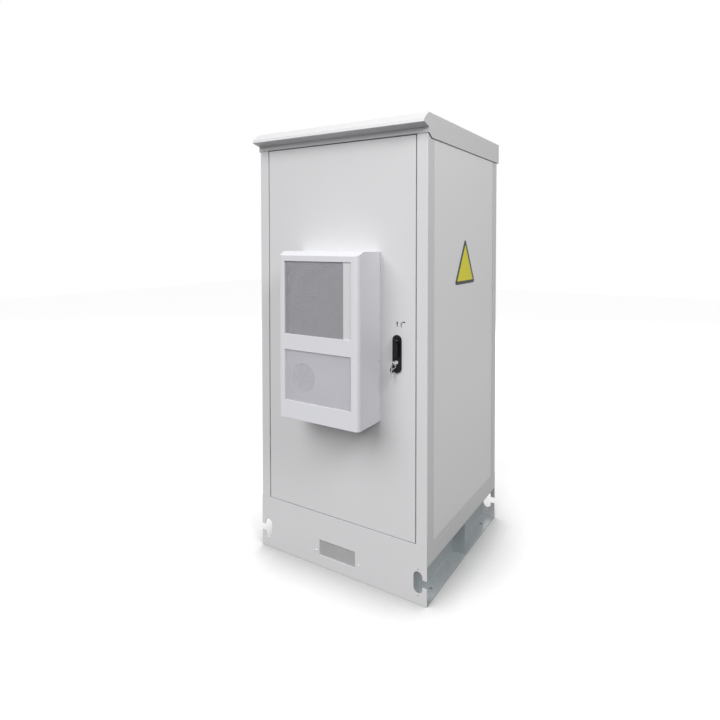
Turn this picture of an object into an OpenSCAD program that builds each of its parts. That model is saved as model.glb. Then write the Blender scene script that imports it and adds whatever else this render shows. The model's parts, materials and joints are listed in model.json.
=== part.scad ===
// Roadside equipment cabinet with a lift-and-turn handle and an air conditioner on its door.
// X runs to the right across the front, Y to the rear, Z up. The origin is on the floor,
// at the centre of the anchor holes. All lengths are in millimetres.

/* [Cabinet] */
// Width across the side faces
body_w = 900; // [860:5:960]
// Depth from the front face to the rear face
body_d = 850; // [810:5:900]
// Height of the frame up to the roof sheet
body_h = 2015; // [1980:5:2080]
// Thickness of the folded sheet
sheet_t = 2; // [1.5:0.1:2.4]
// Outside radius of a sheet bend
bend_r = 4; // [3:0.5:6]
// Width of the frame beside the door
stile_w = 51; // [48:1:58]
// Depth of a corner post along the side
post_side = 60; // [52:1:72]
// Width of the inward lips on posts and panels
lip_w = 20; // [16:1:24]
// Seam between a panel and its posts
seam = 3; // [2:0.5:4]

/* [Base] */
// Height of the fork openings in the sides
fork_h = 165; // [150:1:180]
// Height of the front and rear base plates
plate_h = 247; // [235:1:260]
// Thickness of the base plates
plate_t = 3; // [2:0.5:4]
// Thickness of the anchor flanges
foot_t = 4; // [3:0.5:6]
// Depth of the outward channel in each side
channel_d = 70; // [66:1:90]
// Radius of an anchor hole
anchor_r = 8; // [6:0.5:9]
// Distance of the anchor holes from the side edge
anchor_side = 37; // [30:1:44]
// Distance of the anchor holes from the front and rear faces
anchor_end = 114; // [100:1:130]
// Distance of a lifting slot from the plate's edge
slot_edge = 21; // [18:1:24]
// Width of a lifting slot
slot_w = 41; // [36:1:44]
// Height of a lifting slot
slot_h = 91; // [80:1:100]
// Height of the slot's lower end above the floor
slot_z = 45; // [42:1:52]
// Height of the notch that joins a slot to the edge
notch_h = 31; // [24:1:36]
// Width of the vent window in the front plate
vent_w = 195; // [160:5:220]
// Height of the vent window
vent_h = 71; // [60:1:80]
// Height of the vent window's lower edge
vent_z = 52; // [46:1:60]

/* [Roof] */
// Height of the roof strip above the door opening up to the roof sheet
header_h = 78; // [70:1:88]
// Reach of the roof's nose in front of the door
nose_out = 48; // [40:1:56]
// Height of the nose's lower edge below the roof sheet
nose_drop = 46; // [42:1:50]
// Height of the nose's front edge
nose_edge = 14; // [10:1:18]
// Height of the roof's side skirt
skirt_h = 98; // [92:1:104]
// Gap between the skirt and the body
skirt_gap = 3; // [2:0.5:4]
// Reach of the roof behind the rear face
roof_back = 17; // [14:1:22]

/* [Door] */
// Gap round the door
door_gap = 4; // [3.5:0.1:5]
// Gap under the door
door_foot_gap = 2; // [2:0.5:5]
// Depth of the door's folded edge
door_d = 24; // [22:1:28]
// Outside radius of the door's bends
door_bend_r = 3; // [2.5:0.1:3.5]
// Width of the door's inner lip
door_lip_w = 46; // [44:1:50]
// Width of the rim that the seal meets
rim_w = 28; // [26:1:34]
// Width of the rim on the hinge side
hinge_rim_w = 52; // [50:1:58]
// Thickness of the seal
seal_t = 8; // [6:0.5:10]
// Width of the seal
seal_w = 12; // [8:1:14]
// Radius of a hinge pin
pin_r = 3; // [2:0.1:3.5]
// Radius of a hinge knuckle
knuckle_r = 5.5; // [5:0.1:6]
// Length of the middle knuckle
arm_h = 40; // [30:1:50]
// Length of an outer knuckle
knuckle_h = 30; // [20:1:40]

/* [Lock] */
// Distance of the handle's axis from the door's free edge
lock_in = 84.5; // [80:0.5:90]
// Height of the handle's spindle
lock_z = 1089.5; // [1060:0.5:1120]
// Distance of the key cylinder below the spindle
cylinder_drop = 93.5; // [88:0.5:100]
// Length of the handle's base plate
escutcheon_h = 159; // [150:1:170]
// Width of the handle's base plate
escutcheon_w = 41; // [38:1:46]
// Thickness of the handle's base plate
escutcheon_t = 6; // [4:0.5:8]
// Length of the lever below its pin
lever_l = 74; // [60:1:76]
// Thickness of the lever
lever_t = 12; // [10:0.5:14]
// Width of the lever's grip
grip_w = 22; // [18:0.5:26]
// Tooth size of the rod drive
gear_module = 2; // [1.8:0.1:2.2]
// Teeth on the drive pinion
gear_teeth = 12; // [12:2:16]
// Width of a lock rod
rod_w = 9.5; // [8:0.5:11]
// Thickness of a lock rod
rod_t = 5; // [4:0.5:6]

/* [Air conditioner] */
// Distance of the unit's side from the handle's axis
unit_gap = 83.5; // [70:0.5:95]
// Height of the unit's lower edge
unit_z = 732.5; // [715:0.5:745]
// Width of the unit
unit_w = 417; // [410:1:424]
// Height of the unit
unit_h = 725; // [720:1:735]
// Depth of the unit in front of the door
unit_d = 171; // [160:1:185]
// Wall of the unit's cover
cover_t = 3; // [2:0.5:4]
// Radius of the cover's upright front edges
cover_r = 20; // [16:1:26]
// Reach of the cover's sloping top
slope_d = 40; // [30:1:50]
// Height of the strip between the upper window and the sloping top
brow_h = 24; // [15:0.5:28]
// Width of the grille windows
window_w = 346; // [335:1:350]
// Height of the upper window
upper_h = 315; // [300:1:320]
// Height of the upper window's lower edge above the unit's lower edge
upper_z = 368.5; // [364:0.5:372]
// Height of the lower window
lower_h = 221; // [210:1:230]
// Height of the lower window's lower edge above the unit's lower edge
lower_z = 78.5; // [72:0.5:88]
// Radius of the fan
fan_r = 95; // [88:1:96]
// Radius of the fan's inlet ring
inlet_r = 64; // [54:1:68]
// Distance of the fan to the left of the unit's centre
fan_left = 97; // [92:1:100]
// Distance of the fan below the lower window's centre
fan_drop = 13; // [8:1:16]
// Depth of the inner housing behind the door sheet
inner_d = 118; // [110:1:130]

/* [Inside] */
// Distance between the equipment rails' hole rows
rack_w = 465; // [440:1:480]
// Width of a rail's flange
rail_w = 32; // [28:1:40]
// Distance of the front rails behind the front face
rail_front = 205; // [195:1:230]
// Distance of the rear rails in front of the rear face
rail_rear = 160; // [140:1:200]

/* [Hidden] */
$fn = 48;

// Overrun of every cut past the face that it opens
over = 1;
// Clearance of faces that pass each other
slide_gap = 0.4;
// Radial clearance of a pin or shaft in its bore
fit_gap = 0.05;

// Half width and the front and rear faces
half_w = body_w / 2;
front_y = -body_d / 2;
rear_y = body_d / 2;

// Places of the door opening, its rim and the parts that meet it
opening_x = half_w - stile_w;
header_z = body_h - header_h;
seal_gap = 0.5;
rim_y = front_y + door_d + seal_t + seal_gap;
rim_left = -opening_x + hinge_rim_w;
rim_right = opening_x - rim_w;

// Rails above the side panels
top_rail_h = 82;
top_rail_z = body_h - top_rail_h;
rail_lip_w = 40;
sill_lip_w = 34;
sill_leg = 24;

// Base weldment: mid rib, cross angles and small screw holes
rib_t = 3;
rib_in = 2;
angle_leg = 38;
plate_screw_r = 3;
plate_screw_off = 10;

// Vent mesh behind the front plate's window
mesh_t = 1.5;
mesh_margin = 9;
mesh_cols = 15;
mesh_rows = 6;
mesh_gap_share = 0.62;

// Panels
panel_t = 1.5;
panel_fold = 18;
floor_gap = 4;

// Roof outline
roof_top = body_h + sheet_t;
skirt_z = roof_top - skirt_h;
strip_gap = 0.5;
nose_lean = 3;
soffit_fall = 12;
skirt_chamfer = 30;

// Cable entry in the floor and its rubber edging
entry_w = 320;
entry_d = 70;
entry_back = 120;
edging_t = 4;
edging_lip = 9;

// Equipment rails
rail_leg = 40;
rail_t = 2;
rail_hole_r = 3.5;
rail_hole_pitch = 133.35;
rail_hole_in = 9;

// Door and its concealed hinges
door_x = opening_x - door_gap;
door_low = plate_h + door_foot_gap;
door_high = header_z - door_gap;
knuckle_gap = 0.5;
hinge_in = sheet_t + knuckle_r + knuckle_gap;
hinge_x = -door_x + hinge_in;
hinge_y = front_y + hinge_in;
hinge_shares = [0.12, 0.5, 0.88];
leaf_w = 34;
leaf_t = 2.5;
notch_room = 3.5;
seal_in = 4;
stiffener_w = 30;
stiffener_d = 18;
lock_x = door_x - lock_in;

// Air conditioner: back sheet, shelves, grilles and the duct through the door
unit_x = lock_x - unit_gap - unit_w / 2;
slope_h = unit_h - upper_z - upper_h - brow_h;
chassis_t = 3;
shroud_in = 30;
shelf_d = unit_d - shroud_in;
divider_z = unit_z + (lower_z + lower_h + upper_z) / 2;
grille_t = 1.5;
grille_y = front_y - unit_d + cover_t;
grille_margin = 3;
grille_cols = 10;
grille_rows = 12;
grille_gap_share = 0.7;
duct_half = 150;
duct_foot = 32.5;
duct_head = 51.5;
duct_gap = 1.5;
duct_left = unit_x - duct_half;
duct_right = unit_x + duct_half;
duct_low = unit_z + duct_foot;
duct_high = unit_z + unit_h - duct_head;
stiffener_left = (duct_left - door_x + door_lip_w) / 2;
stiffener_right = (duct_right + lock_x) / 2;

// Coils
fin_pitch = 6;
fin_gap = 3.5;
core_t = 6;
coil_d = 44;
coil_h = 352;
coil_gap = 14;
coil_in_left = 8;
coil_in_right = 37.5;
coil_y = grille_y + grille_t + coil_gap;
coil_left = unit_x - window_w / 2 + coil_in_left;
coil_right = unit_x + window_w / 2 - coil_in_right;
bend_count = 6;
tube_r = 4;
tube_bend_r = 12;
baffle_gap = 2;
baffle_d = 24;
evap_side = 12;
evap_off = 30;
evap_rise = 387.5;
evap_z = unit_z + evap_rise;
evap_h = 250;

// Fan behind the lower grille
shroud_y = front_y - unit_d + shroud_in;
inlet_l = 14;
inlet_room = 6;
fan_x = unit_x - fan_left;
fan_z = unit_z + lower_z + lower_h / 2 - fan_drop;
motor_r = 34;
motor_l = 62;
motor_y = front_y - chassis_t - motor_l;
motor_foot_w = 10;
motor_foot_t = 4;
shaft_r = 6;
shaft_l = 18;
disc_t = 3;
hub_r = 26;
hub_l = 24;
blade_l = 52;
blade_edge = 3;
blade_angle = 35;
blade_span = sqrt(pow(fan_r - blade_edge, 2) - pow((hub_r - blade_edge) * sin(blade_angle), 2))
    - (hub_r - blade_edge) * cos(blade_angle);
blade_count = 7;

// Compressor on rubber feet
comp_r = 50;
comp_h = 190;
comp_dome = 30;
comp_foot_w = 8;
comp_plate_t = 4;
comp_port_l = 46;
comp_right = 112;
comp_out = 72;
foot_h = 12;
foot_r = 9;
comp_x = unit_x + comp_right;
comp_y = front_y - comp_out;
comp_z = unit_z + cover_t + slide_gap + sheet_t + foot_h;

// Inner housing and blower
inner_slots = 8;
inner_slot_l = 200;
inner_slot_h = 8;
inner_slot_pitch = 18;
inner_inlet_rise = 427.5;
inner_outlet_rise = 124.5;
inner_inlet_z = unit_z + inner_inlet_rise;
inner_outlet_z = unit_z + inner_outlet_rise;
blower_motor_l = 44;
blower_r = 80;
blower_l = 58;
blower_blades = 24;
blower_blade_d = 14;
blower_rise = 187.5;
blower_z = unit_z + blower_rise;

// Lock: spindle, lever, rod drive and guides
cylinder_z = lock_z - cylinder_drop;
spindle_r = 6;
spindle_room = 2;
barrel_r = 12;
barrel_l = 24;
base_disc_r = 16;
base_disc_t = 4;
lever_y = front_y - escutcheon_t - 2 * slide_gap - base_disc_t - lever_t / 2;
lever_pin_r = 2;
neck_w = 13;
cheek_t = 3;
cheek_r = 6;
grip_start = 12;
pressure_angle = 25;
tooth_gap = 0.2;
pitch_r = gear_module * gear_teeth / 2;
gear_base_r = pitch_r * cos(pressure_angle);
tip_share = 0.9;
root_share = 1.25;
gear_tip_r = pitch_r + tip_share * gear_module;
gear_root_r = pitch_r - root_share * gear_module;
rod_in = pitch_r + root_share * gear_module;
rod_gap = 2;
rod_short = 2;
rod_y = rim_y + sheet_t + rod_gap;
rod_top = header_z - rim_w - rod_short;
rod_bottom = plate_h + rim_w + rod_short;
rod_room = 0.5;
rack_low_share = 2.6;
rack_teeth = 8;
case_wall = 2;
case_h = 90;
case_y = rod_y + rod_t + rod_room + case_wall;
guide_wall = 5;
guide_h = 20;
guide_shares = [0.3, 0.8];

// Key cylinder, key, ring and spare keys, which hang on the ring by the edge of their holes
plug_r = 8;
plug_out = 2;
plug_y = front_y - escutcheon_t - plug_out;
key_t = 2.2;
blade_h = 7;
blade_reach = 2;
bow_r = 11;
bow_hole_r = 3.5;
bow_y = plug_y - blade_reach - bow_r;
ring_r = 14;
wire_r = 0.9;
ring_off = ring_r * cos(45);
spare_drop = 6;
spare_l = 45;
short_spare_l = 28;
slant_hang = bow_hole_r - slide_gap - wire_r / cos(45) - key_t / 2;
plumb_hang = bow_hole_r - slide_gap - wire_r;
notch_w = 2.4;
notch_shares = [0.2, 0.42, 0.6, 0.82];

// Colours
grey = [0.80, 0.80, 0.80];
shade_grey = [0.52, 0.55, 0.56];
cover_grey = [0.85, 0.85, 0.88];
mesh_grey = [0.60, 0.60, 0.63];
zinc = [0.72, 0.73, 0.75];
black = [0.06, 0.06, 0.07];
rubber_black = [0.10, 0.10, 0.10];
copper = [0.72, 0.45, 0.30];
silver = [0.78, 0.79, 0.80];

// Unit vector and the points of an outline moved inwards by a wall
function unit(v) = v / norm(v);
function inset_point(a, b, c, wall) =
    let(u = unit(b - a), v = unit(c - b), n = [-u[1], u[0]], m = [-v[1], v[0]])
    b + wall * (n + m) / (1 + n * m);
function inset(points, wall) =
    let(count = len(points))
    [for (i = [0 : count - 1])
        inset_point(points[(i + count - 1) % count], points[i], points[(i + 1) % count], wall)];

// Box between two opposite corners
module block(low, high) {
    translate(low)
        cube(high - low);
}

// Outline in (y, z) drawn along X, and outline in (x, z) drawn along Y
module along_x(from, to) {
    translate([from, 0, 0])
        rotate([90, 0, 90])
            linear_extrude(to - from)
                children();
}

module along_y(from, to) {
    translate([0, to, 0])
        rotate([90, 0, 0])
            linear_extrude(to - from)
                children();
}

module along_z(from, to) {
    translate([0, 0, from])
        linear_extrude(to - from)
            children();
}

// Section of a sheet bent once: its outer corner is at the origin
module bent_sheet(leg_x, leg_y, wall, radius) {
    translate([radius, 0])
        square([leg_x - radius, wall]);
    translate([0, radius])
        square([wall, leg_y - radius]);
    intersection() {
        square(radius);
        translate([radius, radius])
            difference() {
                circle(radius);
                circle(radius - wall);
            }
    }
}

// Tray with its face at z = 0 and four folded edges that run up
module tray(size_x, size_y, wall, fold) {
    difference() {
        intersection() {
            rounded_bar_x(size_x, size_y, fold);
            rounded_bar_y(size_x, size_y, fold);
        }
        translate([-size_x / 2 + wall, -size_y / 2 + wall, wall])
            cube([size_x - 2 * wall, size_y - 2 * wall, fold]);
    }
}

module rounded_bar_x(size_x, size_y, fold) {
    translate([-size_x / 2, 0, 0])
        rotate([90, 0, 90])
            linear_extrude(size_x)
                soft_corners(size_y, fold);
}

module rounded_bar_y(size_x, size_y, fold) {
    translate([0, size_y / 2, 0])
        rotate([90, 0, 0])
            linear_extrude(size_y)
                soft_corners(size_x, fold);
}

// Rectangle whose two lower corners are round
module soft_corners(width, height) {
    difference() {
        translate([-width / 2, 0])
            square([width, height]);
        for (side = [-1, 1])
            translate([side * (width / 2 - door_bend_r), door_bend_r])
                difference() {
                    translate([side > 0 ? 0 : -door_bend_r - over, -door_bend_r - over])
                        square(door_bend_r + over);
                    circle(door_bend_r);
                }
    }
}

// Welded plinth: two channels that open outwards, a rib in each, and cross angles
module side_channel() {
    web_x = half_w - channel_d;
    end_y = rear_y - plate_t;
    block([web_x, -end_y, 0], [half_w, end_y, foot_t]);
    block([web_x, -end_y, fork_h - foot_t], [half_w, end_y, fork_h]);
    block([web_x, -end_y, 0], [web_x + foot_t, end_y, fork_h]);
    block([web_x, -rib_t / 2, 0], [half_w - rib_in, rib_t / 2, fork_h]);
}

module base_frame() {
    web_x = half_w - channel_d;
    end_y = rear_y - plate_t;
    color(shade_grey)
        difference() {
            union() {
                for (side = [0, 1])
                    mirror([side, 0, 0])
                        side_channel();
                for (end = [0, 1])
                    mirror([0, end, 0]) {
                        block([-web_x - over, -end_y, 0], [web_x + over, -end_y + angle_leg, foot_t]);
                        block([-web_x - over, -end_y, 0], [web_x + over, -end_y + foot_t, angle_leg]);
                    }
            }
            for (x = [-1, 1], y = [-1, 1])
                translate([x * (half_w - anchor_side), y * (rear_y - anchor_end), -over])
                    cylinder(r = anchor_r, h = foot_t + 2 * over);
        }
}

// Base plates with a lifting slot near each edge
module lifting_slot() {
    slot_x = half_w - slot_edge - slot_w / 2;
    end_r = slot_w / 2;
    translate([slot_x, slot_z + end_r])
        circle(end_r);
    translate([slot_x, slot_z + slot_h - end_r])
        circle(end_r);
    translate([slot_x - end_r, slot_z + end_r])
        square([slot_w, slot_h - slot_w]);
    translate([slot_x, slot_z + (slot_h - notch_h) / 2])
        square([half_w - slot_x + over, notch_h]);
    for (z = [slot_z - plate_screw_off, slot_z + slot_h + plate_screw_off])
        translate([slot_x, z])
            circle(plate_screw_r);
}

module base_plate_outline() {
    difference() {
        translate([-half_w, 0])
            square([body_w, plate_h]);
        for (side = [0, 1])
            mirror([side, 0])
                lifting_slot();
    }
}

module base_front_plate() {
    color(grey)
        along_y(front_y, front_y + plate_t)
            difference() {
                base_plate_outline();
                translate([-vent_w / 2, vent_z])
                    square([vent_w, vent_h]);
            }
}

// Sill of the door opening: a leg on the base plate, a flat and the rim that the door seal meets
module door_sill() {
    leg_y = front_y + plate_t;
    color(grey) {
        block([-opening_x, leg_y, plate_h - sill_leg], [opening_x, leg_y + sheet_t, plate_h]);
        block([-opening_x, leg_y, plate_h - sheet_t], [opening_x, rim_y + sheet_t, plate_h]);
        block([rim_left, rim_y, plate_h - sheet_t], [rim_right, rim_y + sheet_t, plate_h + rim_w]);
    }
}

module base_rear_plate() {
    color(grey) {
        along_y(rear_y - plate_t, rear_y)
            base_plate_outline();
        block([-opening_x, rear_y - lip_w, plate_h - plate_t], [opening_x, rear_y, plate_h]);
    }
}

module base_vent_mesh() {
    pitch_x = vent_w / mesh_cols;
    pitch_z = vent_h / mesh_rows;
    color(mesh_grey)
        along_y(front_y + plate_t, front_y + plate_t + mesh_t)
            difference() {
                translate([-vent_w / 2 - mesh_margin, vent_z - mesh_margin])
                    square([vent_w + 2 * mesh_margin, vent_h + 2 * mesh_margin]);
                for (i = [0 : mesh_cols - 1], j = [0 : mesh_rows - 1])
                    translate([-vent_w / 2 + (i + 0.5) * pitch_x, vent_z + (j + 0.5) * pitch_z])
                        square([pitch_x * mesh_gap_share, pitch_z * mesh_gap_share], center = true);
            }
}

// Rails along the sides, below and above the side panels
module sill_rails() {
    end_y = rear_y - plate_t;
    color(grey)
        for (side = [0, 1])
            mirror([side, 0, 0]) {
                block([half_w - sheet_t, -end_y, fork_h], [half_w, end_y, plate_h]);
                block([opening_x, -end_y, plate_h - sheet_t], [half_w, end_y, plate_h]);
                block([half_w - sill_lip_w, -end_y, fork_h], [half_w, end_y, fork_h + sheet_t]);
            }
}

module top_rails() {
    end_y = rear_y - post_side;
    color(grey)
        for (side = [0, 1])
            mirror([side, 0, 0]) {
                block([half_w - sheet_t, -end_y, top_rail_z], [half_w, end_y, body_h]);
                block([half_w - rail_lip_w, -end_y, top_rail_z], [half_w, end_y, top_rail_z + sheet_t]);
                block([half_w - rail_lip_w, -end_y, body_h - sheet_t], [half_w, end_y, body_h]);
            }
}

// Corner posts, drawn for the left side
module front_post(rim) {
    along_z(plate_h, body_h) {
        translate([-half_w, front_y])
            bent_sheet(stile_w / 2, post_side, sheet_t, bend_r);
        translate([-half_w, front_y + post_side - sheet_t])
            square([lip_w, sheet_t]);
        translate([-opening_x, front_y])
            mirror([1, 0])
                bent_sheet(stile_w / 2, rim_y - front_y + sheet_t, sheet_t, door_bend_r);
        translate([-opening_x - sheet_t, rim_y])
            square([rim + sheet_t, sheet_t]);
    }
}

module rear_post() {
    along_z(plate_h, body_h) {
        translate([-half_w, rear_y])
            mirror([0, 1])
                bent_sheet(stile_w, post_side, sheet_t, bend_r);
        translate([-half_w, rear_y - post_side])
            square([lip_w, sheet_t]);
        translate([-opening_x - sheet_t, rear_y - lip_w])
            square([sheet_t, lip_w]);
    }
}

module front_left_post() {
    color(grey)
        front_post(hinge_rim_w);
}

module front_right_post() {
    color(grey)
        mirror([1, 0, 0])
            front_post(rim_w);
}

module rear_left_post() {
    color(grey)
        rear_post();
}

module rear_right_post() {
    color(grey)
        mirror([1, 0, 0])
            rear_post();
}

// Headers between the posts, under the roof
module front_header() {
    color(grey) {
        block([-opening_x, front_y, header_z], [opening_x, front_y + sheet_t, body_h]);
        block([-opening_x, front_y, header_z], [opening_x, rim_y, header_z + sheet_t]);
        block([rim_left, rim_y, header_z - rim_w], [rim_right, rim_y + sheet_t, header_z + sheet_t]);
    }
}

module rear_header() {
    color(grey) {
        block([-opening_x, rear_y - sheet_t, header_z], [opening_x, rear_y, body_h]);
        block([-opening_x, rear_y - lip_w, header_z], [opening_x, rear_y, header_z + sheet_t]);
        block([-opening_x, rear_y - lip_w, body_h - sheet_t], [opening_x, rear_y, body_h]);
    }
}

// Side and rear panels: trays with their folds turned inwards, standing on the rails
module right_side_panel() {
    panel_h = top_rail_z - seam - plate_h;
    color(grey)
        translate([half_w, 0, plate_h + panel_h / 2])
            rotate([0, -90, 0])
                tray(panel_h, body_d - 2 * (post_side + seam), panel_t, panel_fold);
}

module left_side_panel() {
    mirror([1, 0, 0])
        right_side_panel();
}

module rear_panel() {
    panel_h = header_z - seam - plate_h;
    color(grey)
        translate([0, rear_y, plate_h + panel_h / 2])
            rotate([90, 0, 0])
                tray(2 * (opening_x - seam), panel_h, panel_t, panel_fold);
}

// Folded roof: top sheet, sloping nose, front strip, rear skirt and two end plates
module roof_cap() {
    strip_y = front_y - strip_gap - sheet_t;
    back_y = rear_y + roof_back;
    end_x = half_w + skirt_gap;
    outline = [
        [back_y, skirt_z],
        [back_y, roof_top],
        [strip_y, roof_top],
        [front_y - nose_out + nose_lean, roof_top - nose_drop + nose_edge],
        [front_y - nose_out, roof_top - nose_drop],
        [strip_y, roof_top - nose_drop - soffit_fall],
        [strip_y, header_z],
        [front_y + skirt_chamfer, skirt_z]
    ];
    color(grey)
        difference() {
            along_x(-end_x - sheet_t, end_x + sheet_t)
                polygon(outline);
            along_x(-end_x, end_x)
                polygon(inset(outline, sheet_t));
            block([-end_x, strip_y + sheet_t, skirt_z - over],
                [end_x, back_y - sheet_t, header_z + header_h / 2]);
        }
}

// Inner ceiling on the top rails and floor on the sill rails
module ceiling_panel() {
    edge_x = half_w - sheet_t - slide_gap;
    edge_y = rear_y - post_side;
    color(grey)
        block([-edge_x, -edge_y, top_rail_z + sheet_t], [edge_x, edge_y, top_rail_z + 2 * sheet_t]);
}

module cable_entry(grow, low, high) {
    mid_y = rear_y - post_side - entry_back;
    block([-entry_w / 2 - grow, mid_y - entry_d / 2 - grow, low],
        [entry_w / 2 + grow, mid_y + entry_d / 2 + grow, high]);
}

module floor_plate() {
    edge_x = half_w - panel_fold - floor_gap;
    edge_y = rear_y - post_side;
    color(zinc)
        difference() {
            block([-edge_x, -edge_y, plate_h], [edge_x, edge_y, plate_h + sheet_t]);
            cable_entry(0, plate_h - over, plate_h + sheet_t + over);
        }
}

module cable_edging() {
    color(rubber_black)
        difference() {
            cable_entry(edging_lip, plate_h - edging_t, plate_h + sheet_t + edging_t);
            cable_entry(-edging_t, plate_h - 2 * edging_t, plate_h + sheet_t + 2 * edging_t);
            difference() {
                cable_entry(2 * edging_lip, plate_h, plate_h + sheet_t);
                cable_entry(0, plate_h - over, plate_h + sheet_t + over);
            }
        }
}

// Equipment rails that stand on the floor and meet the ceiling
module rack_rail() {
    low = plate_h + sheet_t;
    high = top_rail_z + sheet_t;
    hole_x = rack_w / 2;
    holes = floor((high - low) / rail_hole_pitch);
    color(zinc)
        difference() {
            along_z(low, high)
                translate([hole_x - rail_hole_in + rail_w, 0])
                    mirror([1, 0])
                        bent_sheet(rail_w, rail_leg, rail_t, door_bend_r);
            for (i = [1 : holes])
                translate([hole_x, -over, low + (i - 0.5) * rail_hole_pitch])
                    rotate([-90, 0, 0])
                        cylinder(r = rail_hole_r, h = rail_t + 2 * over);
        }
}

module front_right_rack_rail() {
    translate([0, front_y + rail_front, 0])
        rack_rail();
}

module front_left_rack_rail() {
    mirror([1, 0, 0])
        front_right_rack_rail();
}

module rear_right_rack_rail() {
    translate([0, rear_y - rail_rear, 0])
        mirror([0, 1, 0])
            rack_rail();
}

module rear_left_rack_rail() {
    mirror([1, 0, 0])
        rear_right_rack_rail();
}

// Concealed hinges: the pin stands behind the door sheet, close to the door's left edge
module hinge_places() {
    for (share = hinge_shares)
        translate([hinge_x, hinge_y, door_low + share * (door_high - door_low)])
            children();
}

module frame_hinge_arms() {
    color(zinc)
        hinge_places()
            along_z(-arm_h / 2, arm_h / 2)
                difference() {
                    union() {
                        circle(knuckle_r);
                        square([knuckle_r, rim_y - hinge_y]);
                    }
                    circle(pin_r + fit_gap);
                }
}

module hinge_pins() {
    reach = arm_h / 2 + slide_gap + knuckle_h;
    color(silver)
        hinge_places()
            translate([0, 0, -reach])
                cylinder(r = pin_r, h = 2 * reach);
}

module door_hinge_leaves() {
    start = arm_h / 2 + slide_gap;
    color(zinc)
        hinge_places()
            for (side = [0, 1])
                mirror([0, 0, side])
                    along_z(start, start + knuckle_h)
                        difference() {
                            union() {
                                circle(knuckle_r);
                                translate([0, -knuckle_r - knuckle_gap])
                                    square([leaf_w, leaf_t + knuckle_gap]);
                            }
                            circle(pin_r + fit_gap);
                        }
}

// Door: folded sheet with a lip all round, a cut-out for the unit and holes for the lock
module door_panel() {
    door_h = door_high - door_low;
    color(grey)
        difference() {
            union() {
                translate([0, front_y, door_low + door_h / 2])
                    rotate([-90, 0, 0])
                        tray(2 * door_x, door_h, sheet_t, door_d);
                along_y(front_y + door_d - sheet_t, front_y + door_d)
                    difference() {
                        translate([-door_x, door_low])
                            square([2 * door_x, door_h]);
                        translate([-door_x + door_lip_w, door_low + door_lip_w])
                            square([2 * (door_x - door_lip_w), door_h - 2 * door_lip_w]);
                    }
            }
            block([duct_left - duct_gap, front_y - over, duct_low - duct_gap],
                [duct_right + duct_gap, front_y + sheet_t + over, duct_high + duct_gap]);
            translate([lock_x, front_y - over, lock_z])
                rotate([-90, 0, 0])
                    cylinder(r = spindle_r + spindle_room, h = sheet_t + 2 * over);
            translate([lock_x, front_y - over, cylinder_z])
                rotate([-90, 0, 0])
                    cylinder(r = barrel_r + slide_gap, h = sheet_t + 2 * over);
            hinge_places()
                translate([-hinge_in - over, door_bend_r - hinge_in, -arm_h / 2 - notch_room])
                    cube([hinge_in + over + knuckle_r + notch_room, door_d, arm_h + 2 * notch_room]);
        }
}

module door_stiffeners() {
    color(grey)
        for (x = [stiffener_left, stiffener_right])
            along_z(door_low + sheet_t, door_high - sheet_t)
                translate([x, front_y + sheet_t])
                    difference() {
                        translate([-stiffener_w / 2, 0])
                            square([stiffener_w, stiffener_d]);
                        translate([-stiffener_w / 2 + sheet_t, -over])
                            square([stiffener_w - 2 * sheet_t, stiffener_d - sheet_t + over]);
                    }
}

module door_gasket() {
    low = [rim_left - seal_in - seal_w, plate_h + rim_w - seal_in - seal_w];
    high = [rim_right + seal_in + seal_w, header_z - rim_w + seal_in + seal_w];
    color(rubber_black)
        along_y(front_y + door_d, front_y + door_d + seal_t)
            difference() {
                translate(low)
                    square(high - low);
                translate(low + [seal_w, seal_w])
                    square(high - low - 2 * [seal_w, seal_w]);
            }
}

// Air conditioner: a back sheet with two shelves, a moulded cover and the machinery between
module unit_chassis() {
    edge = unit_w / 2 - cover_t - slide_gap;
    low = unit_z + cover_t + slide_gap;
    high = unit_z + unit_h - cover_t - slide_gap;
    color(zinc) {
        block([unit_x - edge, front_y - chassis_t, low], [unit_x + edge, front_y, high]);
        block([unit_x - edge, front_y - shelf_d, low], [unit_x + edge, front_y, low + sheet_t]);
        block([unit_x - edge, front_y - shelf_d, divider_z], [unit_x + edge, front_y, divider_z + sheet_t]);
    }
}

function cover_side(back) = [
    [back, unit_z],
    [back, unit_z + unit_h],
    [front_y - unit_d + slope_d, unit_z + unit_h],
    [front_y - unit_d, unit_z + unit_h - slope_h],
    [front_y - unit_d, unit_z]
];

module cover_plan(wall) {
    side = unit_w / 2 - wall;
    nose_r = cover_r - wall;
    for (x = [-1, 1])
        translate([unit_x + x * (side - nose_r), front_y - unit_d + cover_r])
            circle(nose_r);
    translate([unit_x - side, front_y - unit_d + cover_r])
        square([2 * side, unit_d - cover_r + (wall > 0 ? over : 0)]);
    translate([unit_x - side + nose_r, front_y - unit_d + wall])
        square([2 * (side - nose_r), unit_d - wall]);
}

module window(low, height) {
    block([unit_x - window_w / 2, front_y - unit_d - over, unit_z + low],
        [unit_x + window_w / 2, front_y - unit_d + cover_t + over, unit_z + low + height]);
}

module unit_cover() {
    color(cover_grey)
        difference() {
            intersection() {
                along_z(unit_z, unit_z + unit_h)
                    cover_plan(0);
                along_x(unit_x - unit_w, unit_x + unit_w)
                    polygon(cover_side(front_y));
            }
            intersection() {
                along_z(unit_z, unit_z + unit_h)
                    cover_plan(cover_t);
                along_x(unit_x - unit_w, unit_x + unit_w)
                    polygon(inset(cover_side(front_y + cover_t + over), cover_t));
            }
            window(upper_z, upper_h);
            window(lower_z, lower_h);
        }
}

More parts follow.
